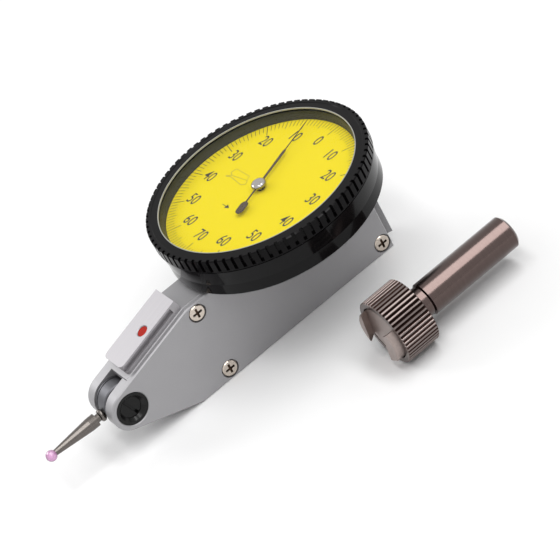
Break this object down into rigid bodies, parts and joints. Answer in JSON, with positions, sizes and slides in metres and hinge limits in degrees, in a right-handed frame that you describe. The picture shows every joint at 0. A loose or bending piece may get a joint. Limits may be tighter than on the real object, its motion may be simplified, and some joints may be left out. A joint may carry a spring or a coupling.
{
  "type": "dial test indicator",
  "caption": "Lever-type dial test indicator: turning dial and bezel on a slim body, geared pointer, ruby-tipped stylus on a friction pivot, and a separate dovetail clamp stem.",
  "frame": {"origin": "on the body's flat base, straight under the dial's axis, midway across the body", "axes": "+Z is the dial's axis towards the reader, +X points to the rear, away from the stylus, -Y is the side with the cover screws"},
  "size_m": [0.0783, 0.0547, 0.0255],
  "materials": {
    "body_alloy": "satin, finely blasted silver grey",
    "case_black": "semi-gloss black",
    "pivot_black": "blackened steel, oiled",
    "screw_nickel": "bright nickel plate",
    "stem_steel": "turned and satin plated steel",
    "stylus_steel": "ground steel",
    "drum_steel": "matt grey steel",
    "ruby": "polished synthetic ruby",
    "red_lacquer": "hardened sealing lacquer",
    "dial_yellow": "bright yellow dial enamel",
    "pointer_dark": "dark brown lacquer",
    "cap_chrome": "polished dome",
    "ring_grey": "matt dark grey",
    "gasket_pale": "pale seal",
    "crystal": "clear flat crystal",
    "gear_brass": "cut brass",
    "arbor_steel": "polished arbor steel",
    "spring_bronze": "spring strip"
  },
  "bodies": {
    "frame": {"housing": "body_alloy", "side_cover": "body_alloy", "cover_screws": "screw_nickel", "front_dovetail": "body_alloy", "block_screw": "screw_nickel", "seal_plug": "red_lacquer", "pivot_rings": "pivot_black", "pivot_screws": "pivot_black", "movement_bridge": "gear_brass", "bridge_pillars": "arbor_steel", "bridge_screws": "screw_nickel", "hairspring": "spring_bronze", "hairspring_stud": "gear_brass", "centre_bushing": "gear_brass", "dial_case": "case_black", "case_screws": "screw_nickel", "stem_shank": "stem_steel", "stem_clip": "screw_nickel"},
    "bezel_group": {"bezel": "case_black", "bezel_spring": "arbor_steel", "dial_plate": "dial_yellow", "dial_ring": "ring_grey", "crystal": "crystal", "crystal_gasket": "gasket_pale"},
    "pointer_group": {"centre_arbor": "arbor_steel", "hairspring_collet": "gear_brass", "pointer": "pointer_dark", "pointer_cap": "cap_chrome"},
    "crown_group": {"crown_arbor": "arbor_steel", "crown_gear": "gear_brass"},
    "sector_group": {"sector_gear": "gear_brass", "sector_arbor": "arbor_steel"},
    "lever_group": {"lever_arm": "drum_steel", "drive_pin": "arbor_steel", "clutch_washers": "spring_bronze"},
    "stylus_group": {"stylus_drum": "drum_steel", "stylus": "stylus_steel", "ruby_ball": "ruby"},
    "collar_group": {"clamp_collar": "stem_steel"},
    "jaw_group": {"stem_jaws": "stem_steel"}
  },
  "joints": [
    {"name": "bezel_turn", "type": "hinge", "parent": "frame", "child": "bezel_group", "pos_m": [0, 0, 0.0229], "axis": [0, 0, 1], "continuous": true},
    {"name": "pointer_turn", "type": "hinge", "parent": "frame", "child": "pointer_group", "pos_m": [0, 0, 0.012], "axis": [0, 0, 1], "range_deg": [-362, 2]},
    {"name": "crown_turn", "type": "hinge", "parent": "frame", "child": "crown_group", "pos_m": [0, 0, 0.00805], "axis": [0, 1, 0], "range_deg": [-0.5, 90.5]},
    {"name": "sector_swing", "type": "hinge", "parent": "frame", "child": "sector_group", "pos_m": [-0.0139, 0, 0.00805], "axis": [0, 1, 0], "range_deg": [-6.1, 0.05]},
    {"name": "lever_swing", "type": "hinge", "parent": "frame", "child": "lever_group", "pos_m": [-0.03874, 0, 0.00805], "axis": [0, 1, 0], "range_deg": [0, 0.5475], "stiffness_Nm_per_rad": 0.04, "springref_deg": -5.73},
    {"name": "stylus_angle", "type": "hinge", "parent": "lever_group", "child": "stylus_group", "pos_m": [-0.03874, 0, 0.00805], "axis": [0, 1, 0], "range_deg": [-95, 95]},
    {"name": "collar_turn", "type": "hinge", "parent": "frame", "child": "collar_group", "pos_m": [0.0003, -0.0287, 0.006], "axis": [1, 0, 0], "range_deg": [0, 288.5]},
    {"name": "jaw_travel", "type": "slide", "parent": "frame", "child": "jaw_group", "axis": [1, 0, 0], "range_m": [0, 0.0004]}
  ],
  "couplings": [
    {"joint": "pointer_turn", "follows": "lever_swing", "ratio": -657.49},
    {"joint": "crown_turn", "follows": "lever_swing", "ratio": 164.37},
    {"joint": "sector_swing", "follows": "lever_swing", "ratio": -11.042},
    {"joint": "collar_turn", "follows": "jaw_travel", "rad_per_m": 12566}
  ]
}
